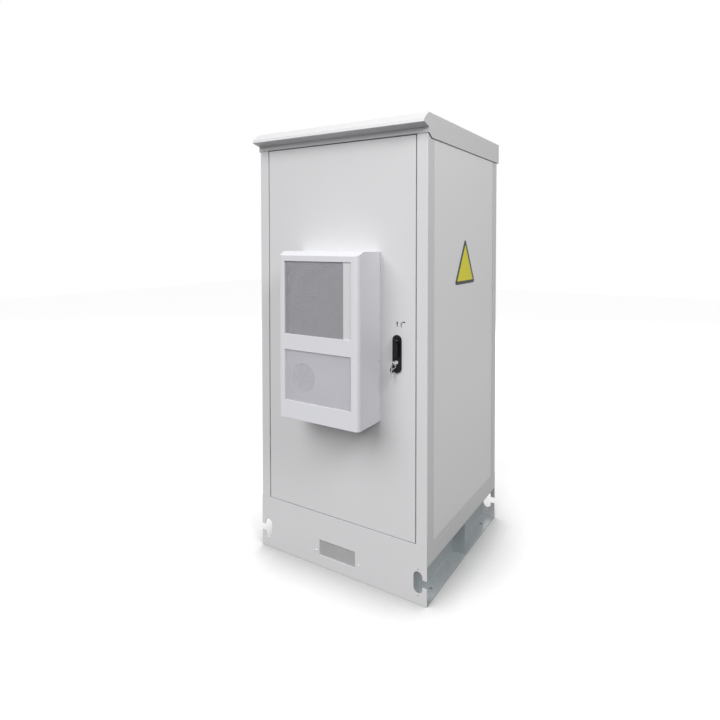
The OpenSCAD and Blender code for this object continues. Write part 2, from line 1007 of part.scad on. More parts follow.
module grille(low, height, cols, rows, plain_w) {
    pitch_x = (window_w - plain_w) / cols;
    pitch_z = height / rows;
    color(mesh_grey)
        along_y(grille_y, grille_y + grille_t)
            translate([unit_x - window_w / 2, unit_z + low])
                difference() {
                    translate([-grille_margin, -grille_margin])
                        square([window_w + 2 * grille_margin, height + 2 * grille_margin]);
                    for (i = [0 : cols - 1], j = [0 : rows - 1])
                        translate([(i + 0.5) * pitch_x, (j + 0.5) * pitch_z])
                            square([pitch_x * grille_gap_share, pitch_z * grille_gap_share], center = true);
                }
}

module upper_grille() {
    grille(upper_z, upper_h, grille_cols, grille_rows, coil_in_right);
}

module lower_grille() {
    grille(lower_z, lower_h, grille_rows, grille_cols, 0);
}

// Fin pack: a core with a row of fins on its front and rear
module fin_pack(width, depth, height) {
    fins = floor(width / fin_pitch);
    linear_extrude(height)
        difference() {
            square([width, depth]);
            for (i = [0 : fins - 1])
                translate([(i + 0.5) * width / fins - fin_gap / 2, 0]) {
                    translate([0, -over])
                        square([fin_gap, (depth - core_t) / 2 + over]);
                    translate([0, (depth + core_t) / 2])
                        square([fin_gap, (depth - core_t) / 2 + over]);
                }
        }
}

module condenser_coil() {
    color(shade_grey)
        translate([coil_left, coil_y, divider_z + sheet_t])
            fin_pack(coil_right - coil_left, coil_d, coil_h);
}

module coil_bends() {
    bend_pitch = coil_h / bend_count;
    color(copper)
        for (i = [0 : bend_count - 1])
            translate([coil_right, coil_y + coil_d / 2, divider_z + sheet_t + (i + 0.5) * bend_pitch])
                rotate([90, 0, 0])
                    rotate([0, 0, -90])
                        rotate_extrude(angle = 180)
                            translate([tube_bend_r, 0])
                                circle(tube_r);
}

module coil_baffle() {
    wall_x = unit_x + window_w / 2 + grille_margin;
    color(cover_grey)
        along_z(divider_z + sheet_t, divider_z + sheet_t + coil_h)
            translate([wall_x, coil_y - baffle_gap])
                mirror([1, 0])
                    bent_sheet(wall_x - coil_right - slide_gap, baffle_d, sheet_t, bend_r);
}

module fan_shroud() {
    edge = unit_w / 2 - cover_t - slide_gap;
    low = unit_z + cover_t + slide_gap + sheet_t;
    color(cover_grey)
        difference() {
            union() {
                block([unit_x - edge, shroud_y, low], [unit_x + edge, shroud_y + sheet_t, divider_z]);
                fan_axis()
                    translate([0, 0, shroud_y])
                        cylinder(r = inlet_r + sheet_t, h = inlet_l);
            }
            fan_axis()
                translate([0, 0, shroud_y - over])
                    cylinder(r = inlet_r, h = inlet_l + 2 * over);
        }
}

// The fan's axis runs along Y: z in its own frame is y in the cabinet
module fan_axis() {
    translate([fan_x, 0, fan_z])
        rotate([-90, 0, 0])
            children();
}

module fan_motor() {
    color(black)
        fan_axis()
            difference() {
                union() {
                    translate([0, 0, motor_y])
                        cylinder(r = motor_r, h = front_y - chassis_t - motor_y);
                    translate([0, 0, front_y - chassis_t - motor_foot_t])
                        cylinder(r = motor_r + motor_foot_w, h = motor_foot_t);
                }
                translate([0, 0, motor_y - over])
                    cylinder(r = shaft_r + fit_gap, h = shaft_l + 2 * over);
            }
}

module fan_impeller() {
    back_y = motor_y - slide_gap;
    color(black)
        fan_axis() {
            translate([0, 0, back_y - disc_t])
                cylinder(r = fan_r, h = disc_t);
            translate([0, 0, back_y - hub_l])
                cylinder(r = hub_r, h = hub_l);
            translate([0, 0, back_y - over])
                cylinder(r = shaft_r, h = shaft_l + slide_gap);
            translate([0, 0, back_y - blade_l - disc_t / 2])
                linear_extrude(blade_l)
                    for (i = [0 : blade_count - 1])
                        rotate(i * 360 / blade_count)
                            blade_section();
            translate([0, 0, back_y - blade_l - disc_t])
                linear_extrude(disc_t)
                    difference() {
                        circle(fan_r);
                        circle(inlet_r + inlet_room);
                    }
        }
}

// Backward-leaning blade: a flat strip from the hub to just inside the rim
module blade_section() {
    translate([hub_r - blade_edge, 0])
        rotate(blade_angle)
            square([blade_span, sheet_t]);
}

module compressor() {
    color(black)
        translate([comp_x, comp_y, comp_z]) {
            cylinder(r = comp_r + comp_foot_w, h = comp_plate_t);
            rotate_extrude() {
                square([comp_r, comp_h - comp_dome]);
                intersection() {
                    translate([0, comp_h - comp_r])
                        circle(comp_r);
                    translate([0, comp_h - comp_dome])
                        square([comp_r, comp_dome]);
                }
            }
            translate([comp_r / 2, 0, comp_h - comp_dome])
                cylinder(r = tube_r, h = comp_port_l);
        }
}

module compressor_feet() {
    color(rubber_black)
        for (i = [0 : 2])
            translate([comp_x, comp_y, comp_z - foot_h])
                rotate(i * 120 + 90)
                    translate([comp_r - foot_r, 0, 0])
                        cylinder(r = foot_r, h = foot_h);
}

// Inner side of the unit: a housing that passes through the door, with inlet and outlet slots
module inner_housing() {
    back_y = front_y + inner_d;
    color(zinc)
        difference() {
            block([duct_left, front_y, duct_low], [duct_right, back_y, duct_high]);
            block([duct_left + panel_t, front_y - over, duct_low + panel_t],
                [duct_right - panel_t, back_y - panel_t, duct_high - panel_t]);
            for (row = [inner_inlet_z, inner_outlet_z], i = [0 : inner_slots - 1])
                translate([(duct_left + duct_right) / 2, back_y, row + i * inner_slot_pitch])
                    cube([inner_slot_l, 2 * (panel_t + over), inner_slot_h], center = true);
        }
}

module evaporator_coil() {
    width = duct_right - duct_left - 2 * evap_side;
    color(shade_grey)
        translate([duct_left + evap_side, front_y, evap_z]) {
            translate([0, evap_off, 0])
                fin_pack(width, coil_d, evap_h);
            for (x = [0, width - sheet_t])
                translate([x, 0, 0])
                    cube([sheet_t, evap_off + coil_d, evap_h]);
        }
}

module blower_axis() {
    translate([unit_x, 0, blower_z])
        rotate([-90, 0, 0])
            children();
}

module blower_motor() {
    color(black)
        blower_axis()
            difference() {
                translate([0, 0, front_y])
                    cylinder(r = motor_r, h = blower_motor_l);
                translate([0, 0, front_y + blower_motor_l - shaft_l - over])
                    cylinder(r = shaft_r + fit_gap, h = shaft_l + 2 * over);
            }
}

module blower_wheel() {
    start = front_y + blower_motor_l + slide_gap;
    color(black)
        blower_axis() {
            translate([0, 0, start])
                cylinder(r = blower_r, h = disc_t);
            translate([0, 0, start - slide_gap - shaft_l])
                cylinder(r = shaft_r, h = shaft_l + slide_gap + over);
            translate([0, 0, start])
                linear_extrude(blower_l)
                    for (i = [0 : blower_blades - 1])
                        rotate(i * 360 / blower_blades)
                            translate([blower_r - blower_blade_d, -panel_t / 2])
                                square([blower_blade_d, panel_t]);
            translate([0, 0, start + blower_l - disc_t])
                linear_extrude(disc_t)
                    difference() {
                        circle(blower_r);
                        circle(blower_r - blower_blade_d);
                    }
        }
}

// Lock: handle base, lever, rod drive, rods and key
module lock_axis(z) {
    translate([lock_x, 0, z])
        rotate([-90, 0, 0])
            children();
}

module handle_escutcheon() {
    end_r = escutcheon_w / 2;
    face_y = front_y - escutcheon_t;
    color(black)
        difference() {
            union() {
                along_y(face_y, front_y)
                    translate([lock_x, lock_z]) {
                        circle(end_r);
                        translate([0, escutcheon_w - escutcheon_h])
                            circle(end_r);
                        translate([-end_r, escutcheon_w - escutcheon_h])
                            square([escutcheon_w, escutcheon_h - escutcheon_w]);
                    }
                lock_axis(cylinder_z)
                    translate([0, 0, front_y - over])
                        cylinder(r = barrel_r, h = barrel_l + over);
            }
            lock_axis(lock_z)
                translate([0, 0, face_y - over])
                    cylinder(r = spindle_r + fit_gap, h = escutcheon_t + 2 * over);
            lock_axis(cylinder_z)
                translate([0, 0, face_y - over])
                    cylinder(r = plug_r + fit_gap, h = escutcheon_t + barrel_l + 2 * over);
        }
}

module handle_spindle() {
    disc_y = front_y - escutcheon_t - slide_gap;
    color(black) {
        lock_axis(lock_z) {
            translate([0, 0, disc_y - base_disc_t])
                cylinder(r = base_disc_r, h = base_disc_t);
            translate([0, 0, disc_y - over])
                cylinder(r = spindle_r, h = case_y - disc_y + over);
        }
        for (side = [-1, 1])
            translate([lock_x + side * (neck_w + cheek_t + 2 * slide_gap) / 2, 0, 0])
                difference() {
                    along_x(-cheek_t / 2, cheek_t / 2)
                        translate([lever_y, lock_z]) {
                            circle(cheek_r);
                            translate([0, -cheek_r])
                                square([disc_y - base_disc_t + over - lever_y, 2 * cheek_r]);
                        }
                    translate([-cheek_t, lever_y, lock_z])
                        rotate([0, 90, 0])
                            cylinder(r = lever_pin_r + fit_gap, h = 2 * cheek_t);
                }
    }
}

module lever_pin() {
    reach = neck_w / 2 + slide_gap + cheek_t;
    color(silver)
        translate([lock_x - reach, lever_y, lock_z])
            rotate([0, 90, 0])
                cylinder(r = lever_pin_r, h = 2 * reach);
}

module handle_lever() {
    end_r = lever_t / 2;
    color(black)
        translate([lock_x, lever_y, lock_z])
            difference() {
                intersection() {
                    along_x(-grip_w / 2, grip_w / 2) {
                        circle(end_r);
                        translate([-end_r, -lever_l + end_r])
                            square([lever_t, lever_l - end_r]);
                        translate([0, -lever_l + end_r])
                            circle(end_r);
                    }
                    along_y(-lever_t, lever_t) {
                        translate([-neck_w / 2, -grip_start - over])
                            square([neck_w, grip_start + end_r + over]);
                        translate([-grip_w / 2, -lever_l + grip_w / 2])
                            square([grip_w, lever_l - grip_w / 2 - grip_start]);
                        translate([0, -lever_l + grip_w / 2])
                            circle(grip_w / 2);
                    }
                }
                translate([-grip_w, 0, 0])
                    rotate([0, 90, 0])
                        cylinder(r = lever_pin_r + fit_gap, h = 2 * grip_w);
            }
}

module lock_case() {
    half = rod_in + rod_w + rod_room + case_wall;
    color(zinc)
        difference() {
            block([lock_x - half, front_y + sheet_t, lock_z - case_h / 2],
                [lock_x + half, case_y, lock_z + case_h / 2]);
            block([lock_x - half + case_wall, front_y + sheet_t + case_wall, lock_z - case_h / 2 - over],
                [lock_x + half - case_wall, case_y - case_wall, lock_z + case_h / 2 + over]);
            lock_axis(lock_z)
                translate([0, 0, front_y])
                    cylinder(r = spindle_r + fit_gap, h = case_y - front_y + over);
        }
}

// Involute pinion: half angle of a tooth at a radius, then the outline tooth by tooth
function involute(radius) =
    let(angle = acos(gear_base_r / radius))
    tan(angle) * 180 / PI - angle;
function half_tooth(radius) =
    90 / gear_teeth - tooth_gap / pitch_r * 180 / PI + involute(pitch_r) - involute(max(radius, gear_base_r));
function polar(radius, angle) = radius * [cos(angle), sin(angle)];
flank_steps = 4;
flank_step = (gear_tip_r - gear_base_r) / flank_steps;
flank_radii = [gear_root_r, for (i = [0 : flank_steps]) gear_base_r + i * flank_step];
pinion_points = [
    for (i = [0 : gear_teeth - 1])
        let(mid = (i + 0.5) * 360 / gear_teeth)
        each concat(
            [for (radius = flank_radii) polar(radius, mid - half_tooth(radius))],
            [
                for (j = [len(flank_radii) - 1 : -1 : 0])
                    polar(flank_radii[j], mid + half_tooth(flank_radii[j]))
            ]
        )
];

module drive_pinion() {
    color(zinc)
        difference() {
            along_y(rod_y, rod_y + rod_t)
                translate([lock_x, lock_z])
                    polygon(pinion_points);
            lock_axis(lock_z)
                translate([0, 0, rod_y - over])
                    cylinder(r = spindle_r + fit_gap, h = rod_t + 2 * over);
        }
}

// Rod with a rack at its inner end: the drive axis is the origin and the rod runs up
module lock_rod(reach) {
    tooth_pitch = PI * gear_module;
    half = tooth_pitch / 4 - tooth_gap;
    tip = gear_tip_r - pitch_r;
    root = rod_in - pitch_r;
    slope = tan(pressure_angle);
    translate([rod_in, -rack_low_share * tooth_pitch])
        square([rod_w, reach + rack_low_share * tooth_pitch]);
    for (i = [-floor(rack_low_share) : rack_teeth - floor(rack_low_share) - 1])
        translate([pitch_r, i * tooth_pitch])
            polygon([
                [root, -half - root * slope],
                [root, half + root * slope],
                [-tip, half - tip * slope],
                [-tip, -half + tip * slope]
            ]);
}

module upper_lock_rod() {
    color(zinc)
        along_y(rod_y, rod_y + rod_t)
            translate([lock_x, lock_z])
                lock_rod(rod_top - lock_z);
}

module lower_lock_rod() {
    color(zinc)
        along_y(rod_y, rod_y + rod_t)
            translate([lock_x, lock_z])
                rotate(180)
                    lock_rod(lock_z - rod_bottom);
}

module rod_guide(side, z) {
    mid_x = lock_x + side * (rod_in + rod_w / 2);
    half = rod_w / 2 + rod_room;
    difference() {
        block([mid_x - half - guide_wall, front_y + sheet_t, z - guide_h / 2],
            [mid_x + half + guide_wall, rod_y + rod_t + rod_room + guide_wall, z + guide_h / 2]);
        block([mid_x - half, rod_y - rod_room, z - guide_h],
            [mid_x + half, rod_y + rod_t + rod_room, z + guide_h]);
    }
}

module rod_guides() {
    color(black)
        for (share = guide_shares) {
            rod_guide(1, lock_z + share * (rod_top - lock_z));
            rod_guide(-1, lock_z - share * (lock_z - rod_bottom));
        }
}

module lock_plug() {
    color(silver)
        lock_axis(cylinder_z)
            translate([0, 0, plug_y])
                cylinder(r = plug_r, h = front_y + barrel_l - plug_y);
}

// Key: a flat bow with a hole for the ring, and a blade
module key_bow() {
    difference() {
        circle(bow_r);
        circle(bow_hole_r);
    }
}

module door_key() {
    color(silver)
        translate([lock_x, 0, cylinder_z])
            along_x(-key_t / 2, key_t / 2) {
                translate([bow_y, 0])
                    key_bow();
                translate([bow_y + bow_hole_r, -blade_h / 2])
                    square([plug_y - bow_y - bow_hole_r, blade_h]);
            }
}

module key_ring() {
    color(silver)
        translate([lock_x - ring_off, bow_y, cylinder_z - ring_off - slant_hang])
            rotate([90, 0, 0])
                rotate_extrude()
                    translate([ring_r, 0])
                        circle(wire_r, $fn = 24);
}

// Spare key: the hole is at the origin and the notched blade hangs down
module hung_key(reach) {
    color(silver)
        along_x(-key_t / 2, key_t / 2)
            difference() {
                union() {
                    translate([0, -spare_drop])
                        circle(bow_r);
                    translate([-blade_h / 2, -spare_drop - bow_r - reach])
                        square([blade_h, reach + bow_r]);
                }
                circle(bow_hole_r);
                for (share = notch_shares)
                    translate([blade_h / 2, -spare_drop - bow_r - share * reach])
                        rotate(45)
                            square(notch_w, center = true);
            }
}

module spare_key() {
    translate([lock_x - 2 * ring_off, bow_y, cylinder_z - 2 * (ring_off + slant_hang)])
        hung_key(spare_l);
}

module short_spare_key() {
    translate([lock_x - ring_off, bow_y, cylinder_z - ring_off - slant_hang - ring_r - plumb_hang])
        hung_key(short_spare_l);
}

base_frame();
base_front_plate();
base_rear_plate();
base_vent_mesh();
door_sill();
sill_rails();
front_left_post();
front_right_post();
rear_left_post();
rear_right_post();
top_rails();
front_header();
rear_header();
left_side_panel();
right_side_panel();
rear_panel();
roof_cap();
ceiling_panel();
floor_plate();
cable_edging();
front_left_rack_rail();
front_right_rack_rail();
rear_left_rack_rail();
rear_right_rack_rail();
frame_hinge_arms();
hinge_pins();
door_panel();
door_stiffeners();
door_gasket();
door_hinge_leaves();
unit_chassis();
unit_cover();
upper_grille();
lower_grille();
condenser_coil();
coil_bends();
coil_baffle();
fan_shroud();
fan_motor();
fan_impeller();
compressor();
compressor_feet();
inner_housing();
evaporator_coil();
blower_motor();
blower_wheel();
handle_escutcheon();
lock_case();
rod_guides();
handle_spindle();
drive_pinion();
handle_lever();
lever_pin();
lock_plug();
door_key();
key_ring();
spare_key();
short_spare_key();
upper_lock_rod();
lower_lock_rod();
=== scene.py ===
# %% [markdown]
# # A roadside utility cabinet
# The cabinet's sheet metal, door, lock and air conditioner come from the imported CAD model, which is
# loaded as a fixed frame. This lesson dresses that frame: it sets up a camera and soft light, gives
# every solid a finish made of shader nodes, and adds the thin pieces that are too fine for the solids.

# %% Load the frame
import json
import math

import bmesh
import bpy
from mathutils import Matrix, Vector


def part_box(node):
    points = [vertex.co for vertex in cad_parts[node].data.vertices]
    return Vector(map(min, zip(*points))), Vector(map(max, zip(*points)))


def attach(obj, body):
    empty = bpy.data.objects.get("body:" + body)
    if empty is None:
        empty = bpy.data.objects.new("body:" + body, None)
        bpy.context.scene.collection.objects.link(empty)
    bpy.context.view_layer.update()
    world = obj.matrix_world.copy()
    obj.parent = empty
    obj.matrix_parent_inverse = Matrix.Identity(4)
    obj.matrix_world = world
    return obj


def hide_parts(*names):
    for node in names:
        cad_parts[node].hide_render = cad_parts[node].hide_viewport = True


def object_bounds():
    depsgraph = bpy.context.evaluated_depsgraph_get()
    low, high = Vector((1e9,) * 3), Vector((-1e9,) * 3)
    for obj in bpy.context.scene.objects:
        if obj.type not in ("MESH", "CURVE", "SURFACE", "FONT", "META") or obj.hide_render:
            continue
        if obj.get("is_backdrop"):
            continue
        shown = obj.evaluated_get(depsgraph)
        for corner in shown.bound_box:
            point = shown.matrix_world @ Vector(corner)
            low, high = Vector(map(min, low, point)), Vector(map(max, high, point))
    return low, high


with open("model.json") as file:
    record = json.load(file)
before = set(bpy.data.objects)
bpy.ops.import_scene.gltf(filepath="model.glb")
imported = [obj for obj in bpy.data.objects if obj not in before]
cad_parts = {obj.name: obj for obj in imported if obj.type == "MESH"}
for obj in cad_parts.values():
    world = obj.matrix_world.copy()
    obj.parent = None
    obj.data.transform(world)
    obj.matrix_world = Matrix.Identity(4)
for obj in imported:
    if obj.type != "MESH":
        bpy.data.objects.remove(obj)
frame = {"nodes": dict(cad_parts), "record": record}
cad_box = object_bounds()
nodes = frame["nodes"]
print("frame:", len(nodes), "solids, box",
      [tuple(round(v, 3) for v in corner) for corner in cad_box])

# %% [markdown]
# ## Writing shader maths as Python
# A finish is a tree of nodes. Typing each node by hand hides the idea behind it, so `Wire` wraps one
# output socket and overloads the arithmetic operators: `1 - mask` adds a Math node. `Tree` makes every
# other kind of node through one method, which takes the node's type, its settings and what goes into
# its sockets.

# %% Sockets that can be added and multiplied
class Wire:
    def __init__(self, tree, socket):
        self.tree = tree
        self.socket = socket

    def _math(self, operation, first, second):
        return self.tree.node("ShaderNodeMath", {"operation": operation}, {0: first, 1: second})

    def __add__(self, other):
        return self._math("ADD", self, other)

    def __radd__(self, other):
        return self._math("ADD", other, self)

    def __rsub__(self, other):
        return self._math("SUBTRACT", other, self)

    def __mul__(self, other):
        return self._math("MULTIPLY", self, other)

    def __pow__(self, other):
        return self._math("POWER", self, other)


print("operators ready")

# %% [markdown]
# ## A tree of nodes
# Every material and the world own such a tree. A colour is mixed with a Mix node, because a Math node
# would turn it grey. Blender numbers the colour sockets of that node after those for numbers and
# vectors, so their numbers get names here.

# %% Trees
MIX_SHARE, MIX_FIRST, MIX_SECOND, MIX_RESULT = 0, 6, 7, 2


class Tree:
    def __init__(self, owner):
        owner.use_nodes = True
        self.owner = owner
        self.tree = owner.node_tree
        self.tree.nodes.clear()

    def plug(self, socket, value):
        if isinstance(value, Wire):
            self.tree.links.new(value.socket, socket)
        elif isinstance(value, tuple) and len(value) == 3 and socket.type == "RGBA":
            socket.default_value = (*value, 1.0)
        else:
            socket.default_value = value

    def node(self, kind, settings=None, sockets=None, out=0):
        made = self.tree.nodes.new(kind)
        for key, value in (settings or {}).items():
            setattr(made, key, value)
        for key, value in (sockets or {}).items():
            self.plug(made.inputs[key], value)
        return Wire(self, made.outputs[out]) if made.outputs else None

    def blend(self, share, first, second):
        return self.node("ShaderNodeMix", {"data_type": "RGBA"},
                         {MIX_SHARE: share, MIX_FIRST: first, MIX_SECOND: second}, out=MIX_RESULT)

    def place(self):
        return self.node("ShaderNodeTexCoord", out="Object")

    def noise(self, place, scale, detail=2.0, rough=0.5):
        return self.node("ShaderNodeTexNoise", None,
                         {"Vector": place, "Scale": scale, "Detail": detail, "Roughness": rough})


print("trees ready")

# %% [markdown]
# ## Camera
# The camera was solved from the corners of the body in the photograph. Its optical axis sits off the
# middle of the picture, as it does in a crop, so the lens is shifted instead of the camera being turned.

# %% Camera
photo_px = 720
focal_px = 535.3
axis_px = (373.2, 257.2)
sensor_mm = 36.0
camera_place = (1.3812, -2.3784, 1.4972)
camera_dip, camera_turn = 1.61, 31.32
view_reach = 60.0

scene = bpy.context.scene
scene.view_settings.view_transform = "Standard"
lens_data = bpy.data.cameras.new("view")
lens_data.sensor_width = sensor_mm
lens_data.lens = sensor_mm * focal_px / photo_px
lens_data.shift_x = (photo_px / 2 - axis_px[0]) / photo_px
lens_data.shift_y = (axis_px[1] - photo_px / 2) / photo_px
lens_data.clip_end = view_reach
camera = bpy.data.objects.new("view", lens_data)
scene.collection.objects.link(camera)
camera.location = camera_place
camera.rotation_euler = (math.radians(90 - camera_dip), 0, math.radians(camera_turn))
scene.camera = camera
print("camera: lens %.1f mm" % lens_data.lens)

# %% [markdown]
# ## Sky
# The object stands before a plain white. Light Path tells a ray from the camera, or a mirror ray, from
# the rays that carry light, so the sky can look white while it throws only a plain level of light on
# the cabinet. A ray is seen unless it is none of the three kinds, which is where `1 - mask` helps.

# %% Sky
white = (1.0, 1.0, 1.0)
sky_glow, sky_shown = 0.26, 1.0


def seen_rays(tree):
    camera_ray, glossy_ray, clear_ray = (
        tree.node("ShaderNodeLightPath", out=kind)
        for kind in ("Is Camera Ray", "Is Glossy Ray", "Is Transmission Ray"))
    return 1 - (1 - camera_ray) * (1 - glossy_ray) * (1 - clear_ray)


sky = Tree(bpy.data.worlds.new("studio"))
scene.world = sky.owner
glow = sky.node("ShaderNodeBackground", None, {"Color": white, "Strength": sky_glow})
backdrop = sky.node("ShaderNodeBackground", None, {"Color": white, "Strength": sky_shown})
sky_mix = sky.node("ShaderNodeMixShader", None, {0: seen_rays(sky), 1: glow, 2: backdrop})
sky.node("ShaderNodeOutputWorld", None, {"Surface": sky_mix})
print("sky throws", sky_glow, "and shows white")

# %% [markdown]
# ## Floor
# The floor is handled as the sky is: a dull grey for the rays that carry light, and nearly white for
# those that are seen. The lamps still throw the cabinet's shadow on it. Ambient Occlusion finds how open
# each spot is: a short reach paints shade into the floor's colour right under the base, and a longer one
# fades the extra glow that lifts the open floor to white, which paints a soft shade around the cabinet.

# %% Floor
floor_half = 14.0
floor_drop = 0.0004
near_reach, wide_reach = 0.2, 0.5
reach_samples, fade_power = 8, 1.3
floor_grain, floor_rough = 40.0, 0.6
# In the next line, the second colour is painted shade for the floor under the base, where the short reach
# finds it closed in.
dull, painted_floor_shade = (0.15, 0.15, 0.15), (0.02, 0.02, 0.02)
stone_dark, stone_light = (0.54, 0.54, 0.54), (0.58, 0.58, 0.58)
lift_none, lift_full = (0.0, 0.0, 0.0), (0.55, 0.55, 0.55)

ground = Tree(bpy.data.materials.new("pale_floor"))
grain = ground.noise(ground.place(), floor_grain, detail=4.0)
matt = ground.node("ShaderNodeBsdfDiffuse", None, {"Color": dull, "Roughness": floor_rough})
near, wide = (ground.node("ShaderNodeAmbientOcclusion", {"samples": reach_samples},
                          {"Distance": reach}, out="AO")
              for reach in (near_reach, wide_reach))
stone = ground.blend(grain, stone_dark, stone_light)
# Painted shade: the floor's colour darkens towards that dark colour right under the base.
pale = ground.node("ShaderNodeBsdfDiffuse", None, {"Color": ground.blend(near, painted_floor_shade, stone)})
# The glow fades where the longer reach finds the floor closed in, which paints a soft shade around the
# cabinet.
lift = ground.node("ShaderNodeEmission", None,
                   {"Color": ground.blend(wide ** fade_power, lift_none, lift_full)})
shown = ground.node("ShaderNodeAddShader", None, {0: pale, 1: lift})
floor_mix = ground.node("ShaderNodeMixShader", None, {0: seen_rays(ground), 1: matt, 2: shown})
ground.node("ShaderNodeOutputMaterial", None, {"Surface": floor_mix})

floor_mesh = bpy.data.meshes.new("floor")
floor_corners = [(-1, -1), (1, -1), (1, 1), (-1, 1)]
floor_mesh.from_pydata([(x * floor_half, y * floor_half, -floor_drop) for x, y in floor_corners],
                       [], [(0, 1, 2, 3)])
floor_mesh.materials.append(ground.owner)
floor = bpy.data.objects.new("floor", floor_mesh)
scene.collection.objects.link(floor)
floor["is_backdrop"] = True
print("floor", 2 * floor_half, "m wide")

# %% [markdown]
# ## Lamps
# A photo studio lights such a cabinet with one large soft light from the upper front. A sun lamp with a
# wide angle does the same and falls evenly from roof to base, so the nose of the roof throws a soft
# shade on the door. The right side is lit by a smaller, nearer area lamp, whose light fades towards the
# ground. A third lamp behind keeps the rear readable in other views.

# %% Lamps
def hang(name, data, place, aim):
    made = bpy.data.objects.new(name, data)
    scene.collection.objects.link(made)
    made.location = place
    made.rotation_euler = (Vector(aim) - Vector(place)).to_track_quat("-Z", "Y").to_euler()
    return made


def lamp(name, place, aim, width, power):
    data = bpy.data.lights.new(name, "AREA")
    data.shape = "SQUARE"
    data.size = width
    data.energy = power
    return hang(name, data, place, aim)


def sun(name, place, spread, strength):
    data = bpy.data.lights.new(name, "SUN")
    data.angle = math.radians(spread)
    data.energy = strength
    return hang(name, data, place, (0, 0, 0))


lamps = [
    sun("front_light", place=(-1.2, -4.4, 3.8), spread=46.0, strength=2.44),
    lamp("right_lamp", place=(3.6, -2.0, 4.4), aim=(0, 0, 1.2), width=2.0, power=128),
    lamp("rear_lamp", place=(-3.0, 5.6, 3.6), aim=(0, 0, 1.1), width=4.0, power=250),
]
print("lamps:", [made.name for made in lamps])

# %% [markdown]
# ## Skins
# Most finishes end alike. A Bevel node rounds the light on edges that are sharp in the solids, and a
# Bump node on top of it gives the surface its fine relief. Both go into one Principled shader. Two
# patterns often shade a surface together, and `mingle` weighs one against the other.

# %% Skins
edge_samples = 4


def mingle(first, second, share):
    return first * share + second * (1 - share)


def skin(finish, height, strength, depth, fold):
    edge = finish.node("ShaderNodeBevel", {"samples": edge_samples}, {"Radius": fold})
    return finish.node("ShaderNodeBump", None, {
        "Strength": strength, "Distance": depth, "Height": height, "Normal": edge})


def ending(finish, sockets):
    shader = finish.node("ShaderNodeBsdfPrincipled", None, sockets)
    finish.node("ShaderNodeOutputMaterial", None, {"Surface": shader})
    return finish.owner


print("skins ready")

# %% [markdown]
# ## Painted sheet steel
# The body is powder coated: the melted powder leaves a very fine orange-peel surface with a soft sheen,
# and the shade drifts a little over a large panel. Noises do this: a large one and a fine one for the
# shade, and one of about a millimetre for the skin.

# %% Powder coats
drift_scale, drift_share, drift_rough = 2.2, 0.7, 0.08
speck_scale, peel_rough = 260.0, 0.06
peel_strength, peel_depth, paint_fold = 0.10, 0.0005, 0.0022


def powder_coat(name, shade, deep_shade, peel_scale, sheen):
    finish = Tree(bpy.data.materials.new(name))
    place = finish.place()
    drift = finish.noise(place, drift_scale, detail=3.0)
    peel = finish.noise(place, peel_scale)
    speck = finish.noise(place, speck_scale, detail=1.0)
    return ending(finish, {
        "Base Color": finish.blend(mingle(drift, speck, drift_share), deep_shade, shade),
        "Roughness": sheen + drift * drift_rough + peel * peel_rough,
        "Normal": skin(finish, peel, peel_strength, peel_depth, paint_fold),
    })


cabinet_paint = powder_coat("cabinet_paint", shade=(0.665, 0.664, 0.675),
                            deep_shade=(0.627, 0.626, 0.637), peel_scale=520.0, sheen=0.36)
unit_paint = powder_coat("unit_paint", shade=(0.715, 0.717, 0.748),
                         deep_shade=(0.685, 0.687, 0.718), peel_scale=700.0, sheen=0.30)
# panel_paint is the cabinet paint made lighter: its extra brightness is painted light, standing in for the
# stronger light that the side and rear panels catch beside their frame.
panel_paint = powder_coat("panel_paint", shade=(0.800, 0.800, 0.808),
                          deep_shade=(0.765, 0.766, 0.775), peel_scale=600.0, sheen=0.32)
mesh_paint = powder_coat("mesh_paint", shade=(0.738, 0.730, 0.785),
                         deep_shade=(0.702, 0.695, 0.750), peel_scale=700.0, sheen=0.40)
print("paints:", [paint.name for paint in (cabinet_paint, unit_paint, panel_paint, mesh_paint)])

# %% [markdown]
# ## Zinc plate
# The base, the inner sheets and the rods are zinc plated: large dull crystals, called spangle, show as
# patches of slightly different brightness. A Voronoi texture gives each crystal its own shade. Its
# straight borders would look drawn, so a noise first bends the place that the texture is read at.

# %% Zinc plate
spangle_scale, spangle_share, spangle_rough = 70.0, 0.8, 0.12
frost_scale, frost_rough, zinc_rough = 300.0, 0.08, 0.34
bend_scale, bend_reach = 40.0, 0.02
frost_strength, frost_depth, zinc_fold = 0.08, 0.0004, 0.0012


def zinc_plate(name, dull, bright, shine):
    finish = Tree(bpy.data.materials.new(name))
    place = finish.place()
    sway = finish.node("ShaderNodeTexNoise", None, {"Vector": place, "Scale": bend_scale}, out="Color")
    offset = finish.node("ShaderNodeVectorMath", {"operation": "SCALE"}, {0: sway, "Scale": bend_reach})
    bent = finish.node("ShaderNodeVectorMath", {"operation": "ADD"}, {0: place, 1: offset})
    cell = finish.node("ShaderNodeTexVoronoi", None, {"Vector": bent, "Scale": spangle_scale},
                       out="Color")
    crystal = finish.node("ShaderNodeSeparateColor", None, {0: cell})
    frost = finish.noise(place, frost_scale, detail=3.0)
    return ending(finish, {
        "Base Color": finish.blend(mingle(crystal, frost, spangle_share), dull, bright),
        "Metallic": shine,
        "Roughness": zinc_rough + crystal * spangle_rough + frost * frost_rough,
        "Normal": skin(finish, frost, frost_strength, frost_depth, zinc_fold),
    })


zinc_steel = zinc_plate("zinc_steel", dull=(0.50, 0.51, 0.53), bright=(0.68, 0.69, 0.70), shine=0.9)
base_zinc = zinc_plate("base_zinc", dull=(0.44, 0.477, 0.487), bright=(0.50, 0.54, 0.55), shine=0.12)
print("zinc:", zinc_steel.name, base_zinc.name)

